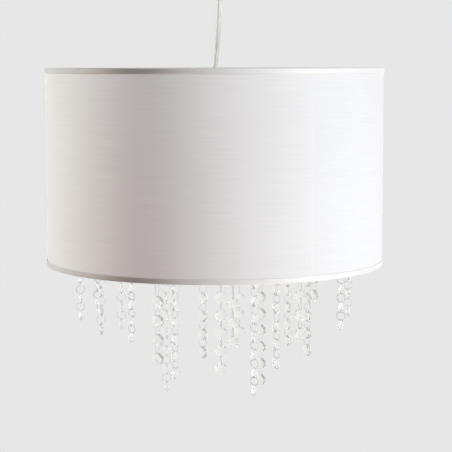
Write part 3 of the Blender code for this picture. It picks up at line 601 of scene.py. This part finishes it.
def makeGrip(name, mouth, up, body, node):
    # a ridged nut with a rounded mouth for the cord, and its stem through the wall: the outline is
    # drawn upwards from the mouth, and turned over for the grip that points down
    nut, length = grip["nut"] * facetShare(10), grip["length"]
    lip, shoulder = grip["lip"], grip["shoulder"]
    outline = profileOf(
        (0, grip["depth"]),
        (grip["mouth"], grip["depth"]),
        corner((grip["mouth"] + lip, lip), (lip, lip), 180, 270, 5),
        corner((nut - shoulder, shoulder), (shoulder, shoulder), -90, 0, 7),
        np.stack([np.full(8, nut), np.linspace(0.002, length - 0.001, 8)], 1),
        corner((nut - lip, length - lip), (lip, lip), 0, 90, 4),
        (grip["stem"], length),
        (grip["stem"], grip["end"]),
        (0, grip["end"]),
    )

    def ribs(radius, height, angle):
        # the radius dips by half a cosine wave for each ridge, on the nut's side only
        height = (height - mouth) * up
        onSide = (radius > nut - 0.0007) & (height > 0.0018) & (height < length)
        return radius - onSide * grip["ridge"] * (0.5 - 0.5 * np.cos(grip["ridges"] * angle))

    grid = turned(outline * (1, up) + (0, mouth), 120, False, ribs)
    joinGrids(name, [grid], whitePlastic, body, [node])


makeGrip("roseGrip", roseExit, 1, "mount_base", "rose_cord_grip")
makeGrip("holderGrip", holderEntry, -1, "lampholder", "holder_cord_grip")
print("rose and grips made")

# across and down from the cord's top end, in metres, as the solid's route
cordRoute = [
    (0.0, 0.0),
    (0.0, 0.008),
    (0.0027, 0.0285),
    (0.0053, 0.0505),
    (0.0049, 0.0730),
    (0.0034, 0.0985),
    (0.0015, 0.1215),
    (0.0001, 0.1370),
    (0.0, 0.1450),
]
cord = {
    "radius": 0.0029,
    "steps": 8,
    "lead": 0.00118,  # radius of each lead
    "offset": 0.00128,  # from the cord's middle to a lead's
    "lean": 0.25,  # radians that the pair of leads stands turned at the ends
    "twist": 0.45,  # radians more, at most, on the way down
    "start": 0.0014,  # inside the grip
}


def smoothLine(points, steps):
    # each stretch is the cubic through its two ends whose slopes follow the neighbouring points
    points = np.asarray(points, float)
    padded = np.concatenate([[2 * points[0] - points[1]], points, [2 * points[-1] - points[-2]]])
    share = (np.arange(steps) / steps)[None, :, None]
    before, start, end, after = (padded[k : len(padded) - 3 + k][:, None] for k in range(4))
    bend = 2 * before - 5 * start + 4 * end - after
    turn = 3 * (start - end) + after - before
    line = start + ((end - before) * share + bend * share**2 + turn * share**3) / 2
    return np.concatenate([line.reshape(-1, points.shape[1]), points[-1:]])


def makeCord():
    flat = smoothLine(cordRoute, cord["steps"])
    line = np.stack([flat[:, 0], np.zeros(len(flat)), roseExit + cord["start"] - flat[:, 1]], 1)
    square = np.array([0.0, 1.0, 0.0])
    tube = roundWire(line, cord["radius"], 32, square)
    sheath = joinGrids("cordSheath", [tube], clearSheath, "cord_body", ["cord"])
    # two leads lie side by side in the sheath and turn slowly about its middle
    run = np.linspace(0, 1, len(line))
    angle = cord["lean"] + cord["twist"] * np.sin(run * math.pi * 1.3)
    tangent = np.gradient(line, axis=0)
    tangent /= np.linalg.norm(tangent, axis=1, keepdims=True)
    side = np.cross(square, tangent)
    away = (np.cos(angle)[:, None] * side + np.sin(angle)[:, None] * square) * cord["offset"]
    for name, sign, finish in (("cordLeadGrey", 1, leadGrey), ("cordLeadCream", -1, leadCream)):
        core = roundWire((line + sign * away)[1:-1], cord["lead"], 16, square)
        joinGrids(name, [core], finish, "cord_body")


makeCord()
print("cord made")

holder = {
    "capTop": 0.0105,  # radii count to the corners of the faceted solid
    "cap": 0.0212,
    "capWall": 0.0018,
    "hole": 0.0049,  # for the cord grip's stem
    "lip": 0.0005,
    "shoulder": 0.012,
    "seam": 0.0003,  # from the cap's edge down to the flange
    "bore": 0.0173,
    "neck": 0.0190,
    "skirt": 0.0195,
    "flange": 0.0235,
    "flangeDepth": 0.003,
    "flangeEdge": 0.0004,
    "pitch": 0.0028,
    "threadDepth": 0.0005,
}
clampRing = {"bore": 0.0204, "edge": 0.0006, "ribs": 32, "rib": 0.0006}


def makeHolder():
    facet = facetShare(16)
    low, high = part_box("holder_cap")[0][2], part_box("holder_cap")[1][2]
    outer, wall, lip = holder["cap"] * facet, holder["capWall"], holder["lip"]
    start, hole, deep = holder["capTop"] * facet, holder["hole"], holder["shoulder"]
    outline = profileOf(
        (hole, high),
        corner((start, high - deep), (outer - start, deep), 90, 0, 14),
        corner((outer - lip, low + lip), (lip, lip), 0, -90, 4),
        (outer - wall, low),
        corner((start, high - deep), (outer - start - wall, deep - wall), 0, 90, 14),
        (hole, high - wall),
    )
    joinGrids("holderCap", [turned(outline, 96)], whitePlastic, "lampholder", ["holder_cap"])

    skirtLow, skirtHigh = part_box("holder_skirt")[0][2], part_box("holder_skirt")[1][2]
    top = low - holder["seam"]  # the flange's top face lies against the cap's edge
    flangeLow = top - holder["flangeDepth"]
    inner, neck = holder["bore"] * facet, holder["neck"] * facet
    radius, edge = holder["skirt"] * facet, holder["flangeEdge"]
    rim = holder["flange"] * facet - edge
    threadRows = np.linspace(flangeLow - 0.001, skirtLow + 0.001, 120)
    outline = profileOf(
        (inner, skirtHigh),
        (neck, skirtHigh),
        (neck, top),
        corner((rim, top - edge), (edge, edge), 90, 0, 4),
        corner((rim, flangeLow + edge), (edge, edge), 0, -90, 4),
        (radius, flangeLow),
        np.stack([np.full(120, radius), threadRows], 1),
        (radius - edge, skirtLow),
        (inner, skirtLow),
    )

    def thread(rad, height, angle):
        # the radius follows a wave that climbs one pitch a turn, on the threaded stretch only
        onThread = (height < flangeLow - 0.0005) & (height > skirtLow + 0.0005) & (rad > radius - 0.0001)
        wave = 0.5 - 0.5 * np.cos(math.tau * height / holder["pitch"] - angle)
        return rad - onThread * holder["threadDepth"] * wave

    skirt = turned(outline, 96, True, thread)
    joinGrids("holderSkirt", [skirt], whitePlastic, "lampholder", ["holder_skirt"])

    ringLow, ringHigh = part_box("clamp_ring")[0][2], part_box("clamp_ring")[1][2]
    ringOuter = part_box("clamp_ring")[1][0] * facet
    bore, edge = clampRing["bore"], clampRing["edge"]
    outline = profileOf(
        (bore, ringHigh),
        corner((ringOuter - edge, ringHigh - edge), (edge, edge), 90, 0, 5),
        np.stack([np.full(6, ringOuter), np.linspace(ringHigh - 0.001, ringLow + 0.001, 6)], 1),
        corner((ringOuter - edge, ringLow + edge), (edge, edge), 0, -90, 5),
        (bore, ringLow),
    )

    def ribs(rad, height, angle):
        # shallow finger ribs round the outside: half a cosine wave for each
        wave = 0.5 - 0.5 * np.cos(clampRing["ribs"] * angle)
        return rad - (rad > ringOuter - 0.0002) * clampRing["rib"] * wave

    ring = turned(outline, 192, True, ribs)
    joinGrids("clampRing", [ring], whitePlastic, "clamp_ring_body", ["clamp_ring"])


makeHolder()

bulb = {
    "cap": 0.0132,  # radii count to the corners of the faceted solid
    "cone": 0.006,  # height of the cap's cone and contact over the thread
    "contact": 0.0030,
    "contactEdge": (0.0016, 0.0012),
    "collar": 0.0060,
    "pitch": 0.0036,
    "threadDepth": 0.0008,
    "glass": 0.030,
    "neck": 0.0126,
    "neckDepth": 0.012,
}


def makeBulb():
    facet = facetShare(16)
    low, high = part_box("bulb_cap")[0][2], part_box("bulb_cap")[1][2]
    radius = bulb["cap"] * facet
    cone = high - bulb["cone"]
    rows = np.linspace(cone - 0.0005, low + 0.004, 90)
    outline = profileOf(
        (0, high),
        corner((bulb["contact"], high - bulb["contactEdge"][1]), bulb["contactEdge"], 90, 0, 6),
        (bulb["collar"], high - bulb["cone"] / 2),
        (radius * 0.93, cone),
        np.stack([np.full(90, radius), rows], 1),
        (radius, low),
        (0, low),
    )

    def thread(rad, height, angle):
        # rolled thread: a rounded wave that climbs one pitch a turn
        onThread = (height < cone) & (height > low + 0.0035) & (rad > radius - 0.0001)
        wave = 0.5 - 0.5 * np.cos(math.tau * height / bulb["pitch"] - angle)
        return rad - onThread * bulb["threadDepth"] * wave

    joinGrids("bulbCap", [turned(outline, 72, False, thread)], bulbMetal, "bulb", ["bulb_cap"])

    glassLow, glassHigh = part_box("bulb_glass")[0][2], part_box("bulb_glass")[1][2]
    wide, neck = bulb["glass"] * facet, bulb["neck"] * facet
    middle = glassLow + bulb["glass"]
    start = glassHigh - bulb["neckDepth"]
    # the side widens from the neck to the globe by three times the share squared less twice its cube
    share = np.linspace(0, 1, 26)
    swell = share * share * (3 - 2 * share)
    outline = profileOf(
        (0, glassHigh),
        (neck, glassHigh),
        np.stack([neck + (wide - neck) * swell, start + (middle - start) * share], 1),
        corner((0, middle), (wide, middle - glassLow), 0, -90, 24)[1:-1],
        (0, glassLow),
    )
    joinGrids("bulbGlass", [turned(outline, 96, False)], opalGlass, "bulb", ["bulb_glass"])


makeBulb()
print("lampholder and bulb made")

shade = {
    "radius": 0.200,
    "cover": 0.1991,
    "liner": 0.1982,
    "wall": 0.0006,
    "hem": 0.0065,
    "hemRoll": 0.0016,  # radius of the fold at the edge
    "hemBack": 0.1934,  # radius of the fold's inner leg
    "hemReturn": 0.003,
    "hemFold": 0.0014,  # radius of the fold between the flat stretch and the inner leg
    "hemLip": 0.0005,
    "sides": 240,
    "seamAngle": 32.4,  # degrees from the front towards the right
    "seamWidth": 0.014,
    "seamRise": 0.0004,
}


def makeShade():
    low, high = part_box("shade_cover")[0][2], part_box("shade_cover")[1][2]
    rows = np.linspace(high, low, 40)
    sides = shade["sides"]
    outer = shade["cover"]
    outline = profileOf(
        np.stack([np.full(40, outer), rows], 1),
        np.stack([np.full(2, outer - shade["wall"]), [low, high]], 1),
    )
    seamStart = math.radians(shade["seamAngle"] - 90)  # the same angle counted from +X
    seamSpan = shade["seamWidth"] / shade["radius"]

    def overlap(rad, height, angle):
        # the upper layer of the overlap stands proud by a ply, with a crisp free edge on its right
        away = (seamStart - angle + math.pi) % math.tau - math.pi
        edge = np.clip(away / 0.005, 0, 1)
        fade = 1 - np.clip((away - seamSpan) / 0.25, 0, 1)
        return rad + (rad > outer - 0.0001) * shade["seamRise"] * edge * fade

    fine = turned(outline, sides * 3, True, overlap)
    cover = joinGrids("shadeCover", [fine], coverFabric, "shade", ["shade_cover"])

    liner = shade["liner"] - 0.0003
    back = liner - shade["wall"]
    outline = [(liner, high), (liner, low), (back, low), (back, high)]
    joinGrids("shadeLiner", [turned(outline, sides)], linerSkin, "shade", ["shade_liner"])

    for name, edge, way, node in (
        ("hemTop", shadeTop, -1, "shade_hem_top"),
        ("hemBottom", shadeBottom, 1, "shade_hem_bottom"),
    ):
        # an upright outer leg, a quarter circle at the edge, a flat stretch over the wire and an inner leg
        outer, back, ply = shade["radius"], shade["hemBack"], shade["wall"]
        deep, lip, roll, fold = shade["hem"], shade["hemLip"], shade["hemRoll"], shade["hemFold"]
        turn = outer - roll
        outline = profileOf(
            (outer - lip, deep),
            corner((outer - 0.0003, deep - lip), (0.0003, 0.0004), 90, 0, 4),
            np.stack([np.full(4, outer), np.linspace(deep - 0.0012, roll + 0.0006, 4)], 1),
            corner((turn, roll), (roll, roll), 0, -90, 9),
            corner((back + fold, fold), (fold, fold), -90, -180, 6),
            (back, shade["hemReturn"]),
            (back + ply, shade["hemReturn"]),
            corner((back + fold, fold), (fold - ply, fold - ply), -180, -90, 6),
            corner((turn, roll), (roll - ply, roll - ply), -90, 0, 7),
            (outer - ply, deep),
        )
        outline = outline * (1, way) + (0, edge)
        joinGrids(name, [turned(outline, sides)], hemFabric, "shade", [node])


makeShade()

wires = {
    "share": 0.95,  # of the faceted wire's radius, so that the round one lies inside it
    "angles": (80, -160, -40),  # of the three arms and spokes, from the front towards the right
    "reach": 0.006,  # length of each side of an arm's bends
    "arm": 0.0015,  # radius
    "spoke": 0.0012,
    "fitter": (0.0204, 0.0264),  # the fitter ring's radii inside and outside
    "fitterThickness": 0.0015,
    "armStops": (0.0118, 0.0335, 0.0245),  # in from the top ring, then from the axis
}


def boxMiddle(name):
    low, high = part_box(name)
    return (low[2] + high[2]) / 2, (high[2] - low[2]) / 2


def wireRing(node, sides=180):
    # a round wire on the node's own circle, whose corner points lie on the box
    height, thickness = boxMiddle(node)
    radius = (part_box(node)[1][0] - thickness) * facetShare(36)
    angles = np.arange(sides) * math.tau / sides
    path = np.stack([radius * np.cos(angles), radius * np.sin(angles), np.full(sides, height)], 1)
    return roundWire(path, thickness * wires["share"], 10, (0, 0, 1), True)


def makeWires():
    ring = wireRing("shade_ring_top")
    joinGrids("shadeRingTop", [ring], whiteWire, "shade", ["shade_ring_top"])

    # the arms start level under the top ring, slope down and end level on the fitter ring
    edge = boxMiddle("shade_ring_top")
    arm = wires["arm"]
    start = edge[0] - edge[1] - arm * 0.94  # just against the ring's underside
    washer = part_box("clamp_ring")[1][2] + 0.0003
    inner, outer = wires["fitter"][0], wires["fitter"][1] * facetShare(16)
    rise = wires["fitterThickness"]
    parts = [turned([(inner, washer + rise), (outer, washer + rise), (outer, washer), (inner, washer)], 96)]
    middle = washer + rise / 2
    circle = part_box("shade_ring_top")[1][0] - edge[1]
    level, low, end = wires["armStops"]
    for angle in wires["angles"]:
        stops = np.array([(circle, start), (circle - level, start), (low, middle), (end, middle)])
        path = [stops[:1]]
        # each bend is the quadratic curve between two points on its sides, drawn towards the corner
        for before, here, after in zip(stops, stops[1:], stops[2:]):
            a = here + (before - here) / np.linalg.norm(before - here) * wires["reach"]
            b = here + (after - here) / np.linalg.norm(after - here) * wires["reach"]
            share = np.linspace(0, 1, 7)[:, None]
            path.append((1 - share) ** 2 * a + 2 * share * (1 - share) * here + share**2 * b)
        flat = np.concatenate([*path, stops[-1:]])
        line = flat[:, :1] * radial(1, angle, 0) + flat[:, 1:] * (0, 0, 1)
        parts.append(roundWire(line, arm * wires["share"], 12, radial(1, angle + 90, 0)))
    joinGrids("shadeSpider", parts, whiteWire, "shade", ["shade_spider"])

    circles = ["strand_circle_outer", "strand_circle_middle", "strand_circle_inner"]
    spokes = ["strand_spoke_1", "strand_spoke_2", "strand_spoke_3"]
    parts = [wireRing("strand_frame")] + [wireRing(node, 150) for node in circles]
    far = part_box("strand_frame")[1][0] - edge[1] + 0.0005
    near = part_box("strand_circle_inner")[1][0] - boxMiddle("strand_circle_inner")[1] - 0.0005
    height = boxMiddle(spokes[0])[0]
    for angle in wires["angles"]:
        share = np.linspace(0, 1, 5)[:, None]
        line = radial(far, angle, height) * (1 - share) + radial(near, angle, height) * share
        parts.append(roundWire(line, wires["spoke"] * wires["share"], 12, radial(1, angle + 90, 0)))
    joinGrids("strandFrame", parts, whiteWire, "shade", ["strand_frame", *circles, *spokes])


makeWires()
print("shade made")

# degrees that each strand is turned, and its length in pitches of a link and a crystal
strands = {
    "outer": {
        "twists": (18, 6, 0, -14, 4, 0, -20, 3, -6, 9),
        "reaches": (5.80, 3.34, 3.66, 3.41, 4.63, 3.64, 3.45, 3.43, 3.47, 3.10),
    },
    "middle": {"twists": (-7, 4, 30, -8, 5, 12), "reaches": (3.71, 5.41, 5.70, 5.54, 8.16, 5.34)},
    "inner": {"twists": (-4, -16, -34, -3, 10), "reaches": (7.24, 7.27, 5.05, 5.99, 7.35)},
}
link = {"length": 0.0097, "width": 0.0104, "wire": 0.00034, "steps": 28, "sides": 6, "rideGap": 0.0017}
crystal = {
    "width": 0.0139,
    "thickness": 0.0052,
    "table": 0.0036,
    "star": 0.0088,
    "starDepth": 0.00175,
    "girdle": 0.0005,
    "hole": 0.00575,  # from its middle
    "tail": 0.007,  # from its middle down, as the lengths count it
}


def crystalShape():
    # An octagon with a band round its edge. On each side a second ring, turned half a corner, and the
    # table's ring stand further out: triangles run between each ring's corners and the next one's.
    edge = np.radians(22.5 + 45 * np.arange(8))
    halfway = np.radians(45 * np.arange(8))
    rim = crystal["width"] / 2 / math.cos(math.pi / 8)
    rings = (
        (crystal["table"] / 2, edge, crystal["thickness"] / 2),
        (crystal["star"] / 2, halfway, crystal["starDepth"]),
        (rim, edge, crystal["girdle"] / 2),
    )

    def ring(radius, angles, depth):
        return np.stack([radius * np.cos(angles), np.full(8, depth), radius * np.sin(angles)], 1)

    def between(star, other):
        first = np.stack([k + star, k + other, after + star], 1)
        return [first, np.stack([after + star, k + other, after + other], 1)]

    points = [ring(radius, angles, -depth) for radius, angles, depth in rings]
    points += [ring(radius, angles, depth) for radius, angles, depth in reversed(rings)]
    k = np.arange(8)
    after = (k + 1) % 8
    faces = between(8, 0) + between(8, 16) + between(32, 24) + between(32, 40)
    return np.concatenate(points), faces + [np.stack([k + 16, k + 24, after + 24, after + 16], 1)]


def linkPath(length):
    # an oval: half a circle at each end, and straight sides where the link is long
    angles = np.arange(link["steps"]) * math.tau / link["steps"]
    height = np.sin(angles) * link["length"] / 2
    height = height + np.sign(height) * (length - link["length"]) / 2
    return np.stack([np.zeros(link["steps"]), np.cos(angles) * link["width"] / 2, height - length / 2], 1)


def makeStrand(joint, twist, reach):
    # links and crystals in turn, hung from the joint's place and turned to face as the solid does
    pitch = link["length"] + 2 * crystal["hole"]
    shortest = link["length"] - link["rideGap"] + crystal["hole"] + crystal["tail"]
    spare = reach * pitch - shortest
    count = 1 + math.floor(spare / pitch)
    origin = np.array(joint["pos_m"], float)
    heading = math.atan2(joint["axis"][1], joint["axis"][0]) + math.radians(twist)
    ahead, aside = math.cos(heading), math.sin(heading)
    turn = np.array([[ahead, -aside, 0], [aside, ahead, 0], [0, 0, 1]])
    shape, faceSets = crystalShape()
    top = link["rideGap"]
    length = link["length"] + spare - (count - 1) * pitch
    links, crystals, faces = [], [], []
    for index in range(count):
        path = (linkPath(length) + (0, 0, top)) @ turn.T + origin
        links.append(roundWire(path, link["wire"], link["sides"], turn @ np.array([1.0, 0, 0]), True))
        middle = top - length - crystal["hole"]
        crystals.append((shape + (0, 0, middle)) @ turn.T + origin)
        offset = index * len(shape)
        for some in faceSets:
            faces += (some + offset).tolist()
        faces.append([offset + k for k in range(8)])
        faces.append([offset + 40 + k for k in range(7, -1, -1)])
        top = middle - crystal["hole"]
        length = link["length"]
    node = joint["child"][: -len("_body")]
    words = node.split("_")
    name = words[0] + words[1].capitalize() + words[2]
    mesh = bpy.data.meshes.new(name + "Crystals")
    mesh.from_pydata(np.concatenate(crystals).tolist(), [], faces)
    cleaned = bmesh.new()
    cleaned.from_mesh(mesh)
    bmesh.ops.recalc_face_normals(cleaned, faces=cleaned.faces)
    cleaned.to_mesh(mesh)
    cleaned.free()
    mesh.materials.append(crystalGlass)
    piece = bpy.data.objects.new(name + "Crystals", mesh)
    bpy.context.scene.collection.objects.link(piece)
    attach(piece, joint["child"])
    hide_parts(node)
    joinGrids(name + "Links", links, linkWire, joint["child"])


for joint in frame["joints"]:
    if not joint["name"].startswith("strand_"):
        continue
    circle, number = joint["name"].split("_")[1:3]
    facts, place = strands[circle], int(number) - 1
    makeStrand(joint, facts["twists"][place], facts["reaches"][place])
print("strands made")

# nodes that keep their own shape, and the finish of each
kept = {
    "ceiling_bracket": zincSteel,
    "rose_screw_left": zincSteel,
    "rose_screw_right": zincSteel,
    "terminal_block": whitePlastic,
    "rose_lead_left": leadCream,
    "rose_lead_right": leadGrey,
    "rose_locknut": zincSteel,
    "holder_locknut": zincSteel,
    "holder_lead_left": leadCream,
    "holder_lead_right": leadGrey,
    "socket_base": socketCeramic,
    "socket_shell": brightBrass,
    "socket_contact": brightBrass,
}
for nodeName, finish in kept.items():
    data = nodes[nodeName].data
    data.materials.clear()
    data.materials.append(finish)
